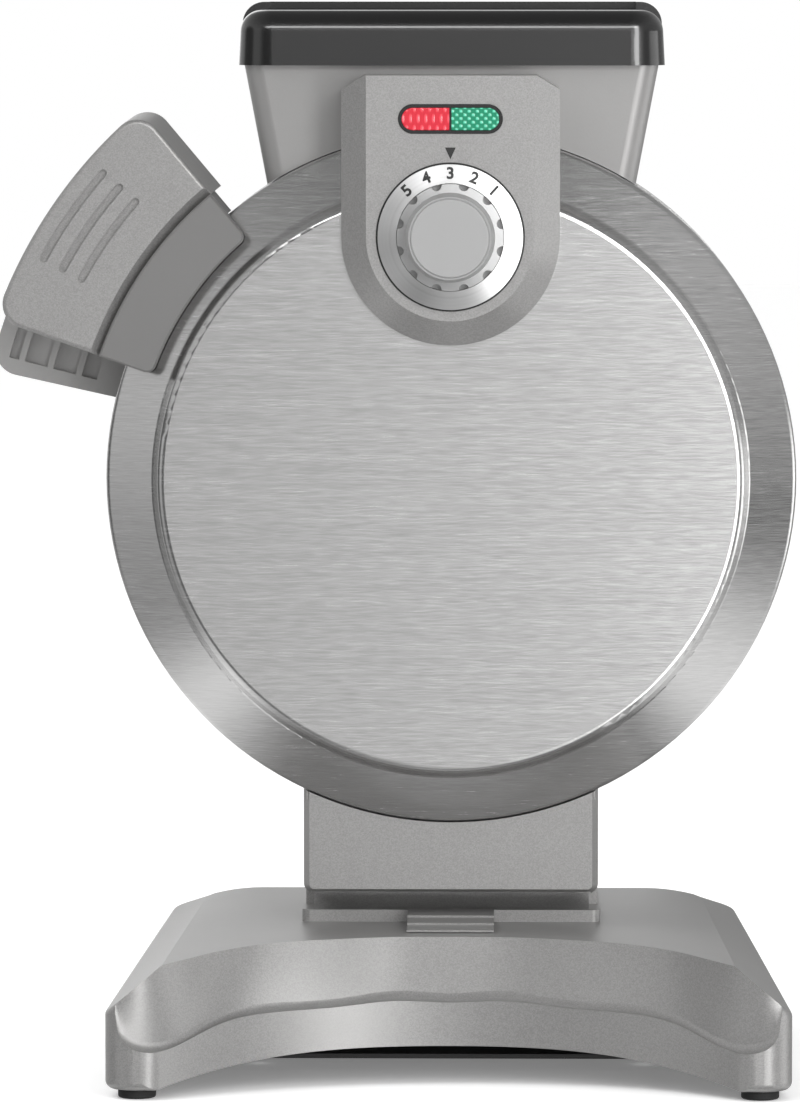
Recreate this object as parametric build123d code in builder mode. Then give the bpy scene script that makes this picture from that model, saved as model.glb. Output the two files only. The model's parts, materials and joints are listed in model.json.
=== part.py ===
"""Vertical waffle maker with a round lid that folds forward on the neck of its base.

Millimetres, +Z up, the front towards -Y. The origin is on the table, under the centre
of the disc and in the plane where the front and rear halves part.
"""

import os
from math import cos, hypot, radians, sin, sqrt

from build123d import *

os.makedirs("parts", exist_ok=True)

# Clearances
half_gap = 0.3  # from the parting plane to each half
plate_gap = 0.15  # from the parting plane to the rim of each cooking plate
slide_fit = 0.1  # between a piece and the one it slides over
run_fit = 0.05  # radial, of a shaft in its bore
free_gap = 0.4  # between pieces that pass each other

# Disc: the two round covers and what they hold
disc_z = 190.0  # height of the disc's centre
disc_r = 110.5
cover_wall = 0.8
seam_y = 18.0  # where each steel cover ends and its bezel shows
ring_y = 29.4  # outer corner of the sloping ring
ring_top_y = 37.6  # foot of the raised face
step_out_r = 95.2
step_in_r = 92.9
face_y = 42.0
back_y = 38.0
back_corner_r = 97.0
back_ring_y = 30.0

bezel_r = 110.0
spigot_y = 25.0
ledge_wall = 3.0
lead_hole_r = 3.0

plate_r = 104.0
ledge_r = plate_r - 7.0  # inside of the ledge that the plate rests on
plate_back_y = 14.0
cavity_r = 88.0
cavity_y = 11.0
cavity_draft = 3.0
rim_key_r = (95.0, 98.0)  # raised key on each plate that locates its rim
rim_key_height = 3.0
peg_base = 12.0
peg_pitch = 17.0
peg_height = 8.0
peg_taper = 14.0
post_r = 4.5
post_place_r = 80.0
reflector_flange_r = plate_r - 1.0
reflector_wall = 0.8
reflector_y = 21.6
element_r = 65.0
element_tube_r = 3.2

screw_r = 1.5
screw_head_r = 3.0
screw_head = 1.8

# Spout and collar above the disc
rim_width = 136.6
rim_depth = 28.0
rim_height = 17.6
rim_top_z = 339.5
rim_rise = 2.5  # how much taller the rear half of the rim is
rim_wall = 9.0
rim_corner_r = 11.0
rim_roll_r = 7.0  # rounding of the rim's upper edge
rim_draft = 3.0  # degrees by which its sides lean in
spout_wall = 2.0
throat_width = 60.0
throat_depth = 6.5
throat_top_z = 306.0
collar_top_width = 132.5
collar_low_width = 117.0
collar_low_z = 281.0
collar_depth = 25.0
collar_wall = 2.2
collar_edge_r = 6.0

# Control panel
panel_width = 69.4
panel_arc_z = 268.0  # centre of its round lower end, and of the dial
panel_top_z = 319.0
panel_y = 52.0
panel_bevel = 7.5
panel_bevel_depth = 8.0
panel_corner = 4.5  # height of its cut upper corners, as wide as the bevel
panel_wall = 2.2
lens_width = 31.0
lens_height = 7.2
lens_z = 305.3
lens_frame = 1.0
lens_web = 0.6  # of the frame, between the two halves
lens_proud = 0.5
panel_boss_r = 3.2
panel_screw_x = 30.0
panel_screw_z = 305.0
panel_screw_length = 10.0

# Dial
dial_ring_r = 23.0
dial_ring_in_r = 17.1
dial_ring_edge = 1.2
dial_ring_rise = 2.8
knob_r = 16.9
knob_skirt = (4.2, 4.8)  # height of the skirt at its rim and where the boss rises from it
knob_boss_r = 14.2
knob_top_r = 13.1
knob_height = 12.0
knob_notches = 12
knob_notch_r = 1.65
knob_notch_low = 1.0
cap_r = 12.4
cap_height = 1.6
shaft_r = 3.0
bush_r = 5.0

# Handles, as sectors about the disc's axis, angles from +X towards +Z
handle_low_deg = 160.6
handle_high_deg = 130.0
bracket_in_r = 100.8
bracket_out_r = 119.0
bracket_corner_r = 3.0
bracket_edge = 0.6
grip_r = 154.2
grip_corner_r = 8.0
grip_edge_r = 1.4
grip_valley = (3.0, 2.6)  # width and depth of the hollow where the grip meets the bracket
grip_flare = 3.0  # how far its upper side spreads from the crest to the back
bracket_y = 38.4
grip_y = 37.0
grip_back_y = 12.0
handle_root_y = 4.0
grip_groove_r = (147.7, 140.8, 134.0)
grip_groove_deg = (138.6, 151.4)
grip_groove_width = 2.6
grip_groove_depth = 1.3
rear_handle_low_deg = 167.5
rear_handle_high_deg = 133.0
rear_handle_back_y = 26.0
rear_pocket_depth = 2.0
rear_pocket_deg = (151.0, 165.5)
rear_rib_r = (144.0, 134.5, 125.0)
handle_screw_deg = (137.5, 153.0)
handle_screw_y = 21.5
handle_screw_end_r = 126.0
rear_screw_deg = (140.0, 160.0)
rear_screw_end_r = 122.0
clip_deg = 145.0  # steel clip on the rear handle that snaps into the front grip
clip_r = 136.0
clip_width = 12.0
clip_wall = 0.8
clip_tip_y = -18.0
clip_root_y = 9.5
clip_bump_r = 1.3

# Neck and hinge
neck_width = 94.7
neck_wall = 2.4
leaf_y = 29.0
leaf_low_z = 55.7
leaf_corner_r = 3.4
leaf_bevel = 4.2
leaf_bevel_depth = 1.9
saddle_wall = 2.5
hinge_y = -22.0
hinge_z = 64.0
hinge_pin_r = 1.8
hinge_barrel_r = 4.2
hinge_arm_width = 61.0
hinge_lug_gap = 0.5
neck_back_y = 34.0
neck_cover_wall = 2.4
base_top_z = 45.4
flange_height = 3.9
flange_width = 96.4
flange_front_y = -16.0
flange_back_y = 40.0
cove_r = 5.6
spigot_width = 68.0
spigot_front_y = -8.0
spigot_back_y = 32.0
spigot_low_z = 26.0

# Base
base_back_y = 75.0
base_front_y = -104.5
base_back_half = 93.8
base_front_half = 108.3
base_low_z = 3.0
base_back_edge_z = 39.3
base_front_edge_z = 26.6
crown_back = (82.6, 42.7, 64.0)  # x and z of the crown's edge, and the x where the flat top ends
crown_front = (89.8, 42.0, 38.0)
base_wall = 2.6
base_corner_r = 6.0
leg_corner_r = 9.0  # of the base's two front corners
leg_edge_r = 9.0  # rounding between the front of each leg and the lip
ridge_r = 2.5  # rounding between each side and the facet above it
slope_foot = 3.0  # depth of the flat foot of the slope
slope_foot_round = 0.85  # share of that foot which is rounded into the slope
crest_y = -54.0  # front edge of the top at the middle
crest_r = 113.3
lip_y = -68.0
lip_r = 135.6
lip_height = 13.8
lip_mid_z = 26.2
lip_end_z = 14.2
lip_ledge = 1.0
leg_inner = 92.0
leg_shoulder = 12.0  # how far the slope's foot curls up over the front of each leg
foot_r = 6.0
foot_height = 3.0
foot_boss_r = 7.5
foot_stem_r = 2.5
foot_front = (97.6, -95.0)
foot_back = (86.0, 65.0)
plate_floor_z = 4.0
floor_wall = 1.5
floor_front_y = -38.0
floor_post_r = 4.5
floor_posts = ((62.0, 58.0), (62.0, -22.0))

# Release bolt in front of the neck
bolt_width = 27.8
bolt_front_y = -45.0
bolt_back_y = -17.2
bolt_travel = 4.0
bolt_body_width = 16.0
bolt_body_height = 4.5
bolt_stem_width = 10.0
bolt_stem_y = (-32.0, -24.0)
bolt_body_front_y = -34.0
bolt_nose_y = -6.2
spring_r = 1.7
spring_wire = 0.7
spring_turns = 6
rail_width = 6.0  # of the two rails that guide the bolt
keeper_wall = 1.6
keeper_screw_length = 5.6

# Lead inlet
inlet_x = 48.0
inlet_z = 22.0
inlet_r = 6.0
inlet_bore_r = 3.6

disc_axis = Axis((0, 0, disc_z), (0, 1, 0))
disc_section = Plane.XY.offset(disc_z)
front, rear = -1, 1


def facing(side, depth, z=disc_z, x=0.0):
    """A plane square to Y at a depth from the parting plane, facing away from it."""
    return Plane((x, side * depth, z), x_dir=(-side, 0, 0), z_dir=(0, side, 0))


def inward(side, depth, z=disc_z):
    """The same plane, facing the parting plane."""
    return Plane((0, side * depth, z), x_dir=(side, 0, 0), z_dir=(0, -side, 0))


def polar(radius, angle):
    """A place about the disc's axis, as (x, height above the axis)."""
    return radius * cos(radians(angle)), radius * sin(radians(angle))


def turned(profile, side, radii=0):
    """A body of revolution about the disc's axis from (radius, depth) corners."""
    with BuildPart() as body:
        with BuildSketch(disc_section):
            with BuildLine():
                corners = [(r, side * y) for r, y in profile]
                if radii:
                    FilletPolyline(*corners, radius=radii, close=True)
                else:
                    Polyline(*corners, close=True)
            make_face()
        revolve(axis=disc_axis)
    return body.part


def block(x_range, y_range, z_range):
    """A plain block from its ranges, which joins nothing until it is added."""
    size = [high - low for low, high in (x_range, y_range, z_range)]
    middle = [(high + low) / 2 for low, high in (x_range, y_range, z_range)]
    return Pos(*middle) * Box(*size, mode=Mode.PRIVATE)


def span(side, low, high):
    """A range of Y that lies from low to high in front of or behind the parting plane."""
    return (low, high) if side > 0 else (-high, -low)


def rod(radius, start, end):
    """A round bar between two points."""
    path = Vector(*end) - Vector(*start)
    with BuildPart(Plane(start, z_dir=path)) as bar:
        Cylinder(radius, path.length, align=(Align.CENTER, Align.CENTER, Align.MIN))
    return bar.part


def screw(head_at, direction, length):
    """A round-headed screw whose head bears on head_at and whose shank runs along direction."""
    start = Vector(*head_at)
    way = Vector(*direction).normalized()
    with BuildPart(Plane(start, z_dir=way)) as body:
        Cylinder(screw_r, length, align=(Align.CENTER, Align.CENTER, Align.MIN))
        Cylinder(screw_head_r, screw_head, align=(Align.CENTER, Align.CENTER, Align.MAX))
        fillet(body.edges().filter_by(GeomType.CIRCLE).sort_by(Axis(start, way))[0], screw_head * 0.45)
    return body.part


def screws(places):
    """A set of alike screws, each a solid of its own."""
    return Compound(children=[screw(*place) for place in places])


def radial_rod(radius, side, angle, near_r, far_r):
    """A bar that points away from the disc's axis, at the depth of the handle screws."""
    (near_x, near_z), (far_x, far_z) = polar(near_r, angle), polar(far_r, angle)
    y = side * handle_screw_y
    return rod(radius, (near_x, y, disc_z + near_z), (far_x, y, disc_z + far_z))


def radial_screws(side, angles, length):
    """Screws from inside the bezel out into a handle."""
    places = []
    for angle in angles:
        x, z = polar(plate_r - 0.5, angle)
        places.append(((x, side * handle_screw_y, disc_z + z), (x, 0, z), length))
    return screws(places)


def finish(piece, name):
    """Label a piece and write it to its own file."""
    piece.label = name
    export_step(piece, f"parts/{name}.step")


# Steel covers
def cover_corners(gap=0.0):
    """Outer corners of the front cover from its middle to its edge, gap mm proud of it."""
    return [
        (0, face_y + gap),
        (step_in_r + gap, face_y + gap),
        (step_out_r + gap, ring_top_y + gap),
        (disc_r + gap, ring_y + gap),
        (disc_r + gap, seam_y),
    ]


cover_inside = [
    (disc_r - cover_wall, seam_y),
    (disc_r - cover_wall, ring_y - cover_wall),
    (step_out_r - 0.6 * cover_wall, ring_top_y - 1.1 * cover_wall),
    (step_in_r - 0.6 * cover_wall, face_y - cover_wall),
    (0, face_y - cover_wall),
]
thermostat_hole = rod(bush_r + 0.3, (0, -back_y, panel_arc_z), (0, -panel_y, panel_arc_z))
lamp_lead_hole = rod(3.0, (0, -cavity_y, panel_arc_z + 15), (0, -panel_y, panel_arc_z + 15))

with BuildPart() as lid_cover:
    add(turned(cover_corners() + cover_inside, front, (0, 2.6, 1.4, 2.4, 0, 0, 1.7, 2.0, 1.9, 0)))
    add(thermostat_hole, mode=Mode.SUBTRACT)
    add(lamp_lead_hole, mode=Mode.SUBTRACT)
    for angle in handle_screw_deg:
        add(radial_rod(screw_r + run_fit, front, angle, disc_r - 3, disc_r + 3), mode=Mode.SUBTRACT)
finish(lid_cover.part, "lid_cover")

rear_corners = [
    (0, back_y),
    (back_corner_r, back_y),
    (disc_r, back_ring_y),
    (disc_r, seam_y),
    (disc_r - cover_wall, seam_y),
    (disc_r - cover_wall, back_ring_y - cover_wall / 2),
    (back_corner_r - cover_wall / 2, back_y - cover_wall),
    (0, back_y - cover_wall),
]
cover_screw_places = [polar(post_place_r, angle) for angle in (45, 135, 225, 315)]
with BuildPart() as rear_cover:
    add(turned(rear_corners, rear, (0, 6.0, 4.0, 0, 0, 3.2, 5.2, 0)))
    with Locations(facing(rear, back_y)):
        with Locations(*[(-x, z) for x, z in cover_screw_places]):
            Hole(screw_r + slide_fit)
    with BuildSketch(facing(rear, back_y)):
        with GridLocations(9, 0, 7, 1):
            SlotOverall(26, 2.6, rotation=90)
    extrude(amount=-2 * cover_wall, mode=Mode.SUBTRACT)
    for angle in rear_screw_deg:
        add(radial_rod(screw_r + run_fit, rear, angle, disc_r - 3, disc_r + 3), mode=Mode.SUBTRACT)
finish(rear_cover.part, "rear_cover")


# Bezels, cooking plates, elements and reflectors, the same in both halves
spout_outer_half = throat_width / 2 + spout_wall
throat_outer_y = throat_depth + spout_wall
lead_x = 10.0  # where the leads of each half come down through the bezel
lead_y = 20.0
leaf_screw_x = 26.0
leaf_screw_y = 9.0


def bezel(side):
    """The moulded ring that carries a cover, a cooking plate and a reflector."""
    ledge_y = plate_back_y + run_fit
    with BuildPart() as ring:
        add(
            turned(
                [
                    (plate_r + 0.5, half_gap),
                    (bezel_r, half_gap),
                    (bezel_r, seam_y - slide_fit),
                    (disc_r - cover_wall - slide_fit, seam_y - slide_fit),
                    (disc_r - cover_wall - slide_fit, spigot_y),
                    (plate_r, spigot_y),
                    (plate_r, ledge_y + ledge_wall),
                    (ledge_r, ledge_y + ledge_wall),
                    (ledge_r, ledge_y),
                    (plate_r + 0.5, ledge_y),
                ],
                side,
            )
        )
        half = spout_outer_half + slide_fit
        add(
            block((-half, half), span(side, 0, throat_outer_y + slide_fit), (disc_z + ledge_r, rim_top_z)),
            mode=Mode.SUBTRACT,
        )
        under_z, inside_z = disc_z - disc_r - 1, disc_z - ledge_r
        y = side * leaf_screw_y
        for x in (-leaf_screw_x, leaf_screw_x):
            add(rod(screw_r + run_fit, (x, y, under_z), (x, y, inside_z)), mode=Mode.SUBTRACT)
        y = side * lead_y
        add(rod(lead_hole_r, (lead_x, y, under_z), (lead_x, y, inside_z)), mode=Mode.SUBTRACT)
        for angle in handle_screw_deg if side == front else rear_screw_deg:
            add(radial_rod(screw_r + run_fit, side, angle, plate_r - 2, bezel_r + 3), mode=Mode.SUBTRACT)
    return ring.part


def grid_places():
    """Middles of the pegs that print the waffle's pockets."""
    reach = cavity_r - peg_base * 0.75
    count = int(cavity_r / peg_pitch) + 1
    steps = [(i + 0.5) * peg_pitch for i in range(-count, count)]
    return [(x, z) for x in steps for z in steps if hypot(x, z) < reach]


def cooking_plate(side):
    """A cast round plate with a grid of pegs, and a raised key that locates its rim."""
    key_in_r, key_out_r = rim_key_r
    with BuildPart() as plate:
        add(
            turned(
                [
                    (0, cavity_y),
                    (key_in_r, cavity_y),
                    (key_in_r, cavity_y - rim_key_height),
                    (key_out_r, cavity_y - rim_key_height),
                    (key_out_r, cavity_y),
                    (plate_r, cavity_y),
                    (plate_r, plate_back_y),
                    (0, plate_back_y),
                ],
                side,
            )
        )
        with BuildSketch(inward(side, cavity_y)):
            with Locations(*[(side * x, z) for x, z in grid_places()]):
                Rectangle(peg_base, peg_base)
        extrude(amount=peg_height, taper=peg_taper)
        with BuildSketch(facing(side, plate_back_y)):
            with Locations(*[(-side * x, z) for x, z in cover_screw_places]):
                Circle(post_r)
        extrude(amount=reflector_y - plate_back_y)
        with Locations(facing(side, reflector_y)):
            with Locations(*[(-side * x, z) for x, z in cover_screw_places]):
                Hole(screw_r + run_fit, depth=reflector_y - plate_back_y)
    return plate.part


def plate_rim(side):
    """The raised rim pressed on a plate, with a channel down from the spout."""
    key_in_r, key_out_r = rim_key_r
    seat_y = cavity_y - run_fit
    groove_y = cavity_y - rim_key_height - run_fit
    with BuildPart() as rim:
        add(
            turned(
                [
                    (cavity_r - cavity_draft, seat_y),
                    (cavity_r, plate_gap),
                    (plate_r, plate_gap),
                    (plate_r, seat_y),
                    (key_out_r + run_fit, seat_y),
                    (key_out_r + run_fit, groove_y),
                    (key_in_r - run_fit, groove_y),
                    (key_in_r - run_fit, seat_y),
                ],
                side,
            )
        )
        half = throat_width / 2
        channel_z = (disc_z + cavity_r - 2 * cavity_draft, disc_z + plate_r + 1)
        add(block((-half, half), span(side, 0, throat_depth), channel_z), mode=Mode.SUBTRACT)
    return rim.part


def element(side):
    """The sheathed heater: most of a ring, with two legs that turn back from the plate."""
    y = side * (plate_back_y + element_tube_r + run_fit)
    gap_deg = 12.0
    low = -90 + gap_deg
    ring_plane = Plane((0, y, disc_z), x_dir=(1, 0, 0), z_dir=(0, -1, 0))
    with BuildPart() as tube:
        with BuildLine(ring_plane):
            CenterArc((0, 0), element_r, low, 360 - 2 * gap_deg)
        x, z = polar(element_r, low)
        tangent = Vector(-sin(radians(low)), 0, cos(radians(low)))
        with BuildSketch(Plane((x, y, disc_z + z), z_dir=tangent)):
            Circle(element_tube_r)
        sweep()
        for sign in (-1, 1):
            with BuildSketch(facing(side, plate_back_y + run_fit, disc_z + z, sign * x)):
                Circle(element_tube_r)
            extrude(amount=2 * element_tube_r)
    return tube.part


def reflector(side):
    """A shallow pan behind the heater, clamped on the bezel's ledge and the plate's posts."""
    flange_y = plate_back_y + run_fit + ledge_wall + run_fit
    foot_r = ledge_r - 3
    floor_r = foot_r - 3
    with BuildPart() as pan:
        add(
            turned(
                [
                    (0, reflector_y + run_fit),
                    (floor_r, reflector_y + run_fit),
                    (foot_r, flange_y),
                    (reflector_flange_r, flange_y),
                    (reflector_flange_r, flange_y + reflector_wall),
                    (foot_r + 0.5, flange_y + reflector_wall),
                    (floor_r + 0.5, reflector_y + run_fit + reflector_wall),
                    (0, reflector_y + run_fit + reflector_wall),
                ],
                side,
            )
        )
        with Locations(facing(side, reflector_y + 2)):
            with Locations(*[(-side * x, z) for x, z in cover_screw_places]):
                Hole(screw_r + slide_fit, depth=4)
    return pan.part


def plate_screws(side, head_y):
    """Four screws that clamp the reflector on the plate's posts, with their heads at head_y."""
    length = head_y - reflector_y + 5.5
    return screws([((x, side * head_y, disc_z + z), (0, -side, 0), length) for x, z in cover_screw_places])


reflector_back_y = reflector_y + run_fit + reflector_wall
spacer_length = back_y - cover_wall - reflector_back_y - 2 * run_fit
spacers = []
for x, z in cover_screw_places:
    with BuildPart(facing(rear, reflector_back_y + run_fit, disc_z + z, x)) as spacer:
        Cylinder(post_r, spacer_length, align=(Align.CENTER, Align.CENTER, Align.MIN))
        Hole(screw_r + slide_fit)
    spacers.append(spacer.part)
finish(Compound(children=spacers), "rear_spacers")


for half_name, half_side in (("lid", front), ("rear", rear)):
    finish(bezel(half_side), f"{half_name}_bezel")
    finish(cooking_plate(half_side), f"{half_name}_plate")
    finish(plate_rim(half_side), f"{half_name}_plate_rim")
    finish(element(half_side), f"{half_name}_element")
    finish(reflector(half_side), f"{half_name}_reflector")
finish(plate_screws(front, reflector_back_y), "lid_plate_screws")
finish(plate_screws(rear, back_y), "rear_cover_screws")


# Spout halves
rim_low_z = rim_top_z - rim_height


mouth_half = rim_width / 2 - rim_wall
mouth_depth = rim_depth - rim_wall


def rim_block(side, top_z):
    """Half of the rim's outside: round corners, leaning sides and a rolled upper edge."""
    with BuildPart() as rim:
        with BuildSketch(Plane.XY.offset(rim_low_z)):
            RectangleRounded(rim_width, 2 * rim_depth, rim_corner_r)
        extrude(amount=top_z - rim_low_z, taper=rim_draft)
        fillet(rim.faces().sort_by(Axis.Z)[-1].edges(), rim_roll_r)
        this_half = block((-rim_width, rim_width), span(side, half_gap, rim_depth), (rim_low_z, top_z))
        add(this_half, mode=Mode.INTERSECT)
    return rim.part


def funnel(side, wall):
    """Half of the funnel from the rim down to the throat, wall mm larger than its bore."""
    sections = (
        (mouth_half, mouth_depth, rim_low_z + spout_wall),
        (throat_width / 2, throat_depth, throat_top_z),
    )
    with BuildPart() as cone:
        for half_width, depth, z in sections:
            y_low, y_high = span(side, 0, depth + wall)
            with BuildSketch(Plane((0, (y_low + y_high) / 2, z - wall), z_dir=(0, 0, 1))):
                Rectangle(2 * (half_width + wall), y_high - y_low)
        loft(ruled=True)
    return cone.part


def spout(side):
    """One half of the black spout: the rim, the funnel and the throat."""
    top_z = rim_top_z + (rim_rise if side == rear else 0)
    throat_half = throat_width / 2
    outer_half = throat_half + spout_wall
    mouth_z = (rim_low_z + spout_wall, top_z + 5)
    bore_z = (disc_z + ledge_r - 10, throat_top_z)
    plate_clear_r = plate_r + half_gap
    with BuildPart() as half:
        add(rim_block(side, top_z))
        add(funnel(side, spout_wall))
        outer_z = (disc_z + bezel_r - 12, throat_top_z)
        add(block((-outer_half, outer_half), span(side, 0, throat_outer_y), outer_z))
        add(block((-mouth_half, mouth_half), span(side, 0, mouth_depth), mouth_z), mode=Mode.SUBTRACT)
        add(funnel(side, 0), mode=Mode.SUBTRACT)
        add(block((-throat_half, throat_half), span(side, 0, throat_depth), bore_z), mode=Mode.SUBTRACT)
        add(turned([(0, -1), (plate_clear_r, -1), (plate_clear_r, 40), (0, 40)], side), mode=Mode.SUBTRACT)
        seam = block((-100, 100), (-half_gap, half_gap), (disc_z, rim_top_z + 20))
        add(seam, mode=Mode.SUBTRACT)
    return half.part


# Collar halves
def collar_block(side):
    """The collar's tapered outer block."""
    run = (collar_top_width - collar_low_width) / 2
    low_z = collar_low_z - 12
    drop = run * (rim_low_z - low_z) / (rim_low_z - collar_low_z)
    top_half = collar_top_width / 2
    low_half = top_half - drop
    with BuildPart() as body:
        with BuildSketch(facing(side, half_gap, 0)):
            with BuildLine():
                Polyline(
                    (-low_half, low_z),
                    (low_half, low_z),
                    (top_half, rim_low_z),
                    (-top_half, rim_low_z),
                    close=True,
                )
            make_face()
        extrude(amount=collar_depth - half_gap)
        far = body.faces().sort_by(Axis.Y)[0 if side == front else -1]
        fillet(far.edges().filter_by(lambda e: abs(e.center().X) > low_half - 1), collar_edge_r)
    return body.part


def collar(side):
    """A hollow half collar that stands on the disc and carries half of the rim."""
    with BuildPart() as shell:
        add(collar_block(side))
        with BuildSketch(Plane.XY.offset(rim_low_z)):
            reach = collar_depth - collar_wall
            with Locations((0, side * reach / 2)):
                Rectangle(collar_top_width - 2 * collar_wall, reach)
        low = Plane.XY.offset(disc_z)
        taper = (collar_top_width - collar_low_width) * (rim_low_z - disc_z) / (rim_low_z - collar_low_z)
        with BuildSketch(low):
            with Locations((0, side * reach / 2)):
                Rectangle(collar_top_width - taper - 2 * collar_wall, reach)
        loft(ruled=True, mode=Mode.SUBTRACT)
        clear_r = disc_r + half_gap
        add(turned([(0, -5), (clear_r, -5), (clear_r, 60), (0, 60)], side), mode=Mode.SUBTRACT)
        if side == front:
            for x in (-panel_screw_x, panel_screw_x):
                hole = rod(screw_r + run_fit, (x, 0, panel_screw_z), (x, -panel_y, panel_screw_z))
                add(hole, mode=Mode.SUBTRACT)
    return shell.part


for half_name, half_side in (("lid", front), ("rear", rear)):
    finish(spout(half_side), f"{half_name}_spout")
    finish(collar(half_side), f"{half_name}_collar")


# Control panel
def tongue(inset, near_y, far_y, top_inset=0.0):
    """A tongue with a round lower end, from near_y to far_y in front of the parting plane."""
    half = panel_width / 2 - inset
    with BuildPart() as body:
        with BuildSketch(facing(front, near_y, panel_arc_z)):
            with BuildLine():
                top = panel_top_z - panel_arc_z - top_inset
                Line((half, 0), (half, top))
                Line((half, top), (-half, top))
                Line((-half, top), (-half, 0))
                CenterArc((0, 0), half, 180, 180)
            make_face()
        extrude(amount=far_y - near_y)
    return body.part


def bevelled_tongue(near_y):
    """The panel's outside: bevelled round its face and cut off at its upper corners."""
    half = panel_width / 2
    with BuildPart() as body:
        add(tongue(0, near_y, panel_y))
        face = body.faces().sort_by(Axis.Y)[0]
        sides = face.edges().sort_by(Axis.Z)[:-1]
        chamfer(sides, panel_bevel_depth, panel_bevel, reference=face)
        with BuildSketch(facing(front, 0, panel_top_z)):
            for sign in (-1, 1):
                with BuildLine():
                    Polyline(
                        (sign * half, -panel_corner),
                        (sign * (half - panel_bevel), 0),
                        (sign * (half - panel_bevel), 1),
                        (sign * (half + 1), 1),
                        (sign * (half + 1), -panel_corner),
                        close=True,
                    )
                make_face()
        extrude(amount=panel_y + 1, mode=Mode.SUBTRACT)
    return body.part


disc_clear = cover_corners(slide_fit) + [(0, seam_y)]
panel_top_wall = panel_wall + panel_corner
with BuildPart() as control_panel:
    add(bevelled_tongue(collar_depth + slide_fit))
    wide = tongue(panel_wall, collar_depth - 1, panel_y - panel_bevel_depth - 0.5, panel_top_wall)
    add(wide, mode=Mode.SUBTRACT)
    narrow = tongue(panel_wall + panel_bevel * 0.75, collar_depth, panel_y - panel_wall, panel_top_wall)
    add(narrow, mode=Mode.SUBTRACT)
    for x in (-panel_screw_x, panel_screw_x):
        boss_back, boss_front = -collar_depth - slide_fit, panel_bevel_depth - panel_y
        add(rod(panel_boss_r, (x, boss_back, panel_screw_z), (x, boss_front, panel_screw_z)))
        screw_end = boss_back - panel_screw_length
        add(rod(screw_r + run_fit, (x, 0, panel_screw_z), (x, screw_end, panel_screw_z)), mode=Mode.SUBTRACT)
    add(turned(disc_clear, front), mode=Mode.SUBTRACT)
    with BuildSketch(facing(front, panel_y, lens_z)):
        SlotOverall(lens_width + 2 * (lens_frame + slide_fit), lens_height + 2 * (lens_frame + slide_fit))
    extrude(amount=-2 * panel_wall, mode=Mode.SUBTRACT)
    with Locations(facing(front, panel_y, panel_arc_z)):
        Hole(bush_r + run_fit, depth=2 * panel_wall)
finish(control_panel.part, "control_panel")

lens_back_y = panel_y - panel_wall
with BuildPart() as lamp_frame:
    with BuildSketch(facing(front, lens_back_y, lens_z)):
        SlotOverall(lens_width + 2 * lens_frame, lens_height + 2 * lens_frame)
        SlotOverall(lens_width, lens_height, mode=Mode.SUBTRACT)
        Rectangle(lens_web, lens_height + lens_frame)
    extrude(amount=panel_wall + 0.3)
finish(lamp_frame.part, "lamp_frame")


def lens(left):
    """Half of the capsule window."""
    near = lens_web / 2 + run_fit
    keep = (-lens_width, -near) if left else (near, lens_width)
    with BuildPart() as window:
        with BuildSketch(facing(front, lens_back_y, lens_z)):
            SlotOverall(lens_width - 2 * run_fit, lens_height - 2 * run_fit)
        extrude(amount=panel_wall + lens_proud)
        fillet(window.faces().sort_by(Axis.Y)[0].edges(), 0.4)
        keep_block = block(keep, (-panel_y - 5, -collar_depth), (lens_z - lens_height, lens_z + lens_height))
        add(keep_block, mode=Mode.INTERSECT)
    return window.part


finish(lens(True), "red_lens")
finish(lens(False), "green_lens")

lamp_x = lens_width / 4
lamp_r = 2.4
holder_depth = 12.0
with BuildPart() as lamp_holder:
    add(
        block(
            (-lens_width / 2 - 2, lens_width / 2 + 2),
            (-lens_back_y + 0.05, -lens_back_y + holder_depth),
            (lens_z - lens_height / 2 - 1.5, lens_z + lens_height / 2 + 1.5),
        )
    )
    with BuildSketch(facing(front, lens_back_y, lens_z)):
        with Locations((-lamp_x, 0), (lamp_x, 0)):
            Rectangle(2 * lamp_x - 1.5, lens_height)
    extrude(amount=-(holder_depth - 1.5), mode=Mode.SUBTRACT)
finish(lamp_holder.part, "lamp_holder")

lamp_back_y = lens_back_y - holder_depth + 1.5
lamps = []
for x in (-lamp_x, lamp_x):
    with BuildPart(facing(front, lamp_back_y, lens_z, x)) as lamp:
        Cylinder(lamp_r, 7.0, align=(Align.CENTER, Align.CENTER, Align.MIN))
        fillet(lamp.faces().sort_by(Axis.Y)[0].edges(), 1.8)
    lamps.append(lamp.part)
finish(Compound(children=lamps), "indicator_lamps")

thermostat_back_y = reflector_y + run_fit + reflector_wall + 1.2
with BuildPart() as thermostat:
    add(
        block(
            (-12, 12),
            (-(face_y - cover_wall - 3.0), -thermostat_back_y),
            (panel_arc_z - 13, panel_arc_z + 7),
        )
    )
    with Locations(facing(front, face_y - cover_wall - 3.0, panel_arc_z)):
        Cylinder(bush_r, panel_y - face_y + 2.8, align=(Align.CENTER, Align.CENTER, Align.MIN))
    with Locations(facing(front, panel_y, panel_arc_z)):
        Hole(shaft_r + run_fit, depth=panel_y - thermostat_back_y - 3)
finish(thermostat.part, "thermostat")

panel_screw_seat_y = collar_wall - collar_depth
finish(
    screws(
        [
            ((x, panel_screw_seat_y, panel_screw_z), (0, -1, 0), panel_screw_length)
            for x in (-panel_screw_x, panel_screw_x)
        ]
    ),
    "panel_screws",
)

# Dial
dial_back_y = panel_y + half_gap
finish(
    turned(
        [
            (dial_ring_in_r, dial_back_y),
            (dial_ring_r, dial_back_y),
            (dial_ring_r, dial_back_y + dial_ring_edge),
            (dial_ring_in_r, dial_back_y + dial_ring_rise),
        ],
        front,
    ).moved(Location((0, 0, panel_arc_z - disc_z))),
    "dial_ring",
)

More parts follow.
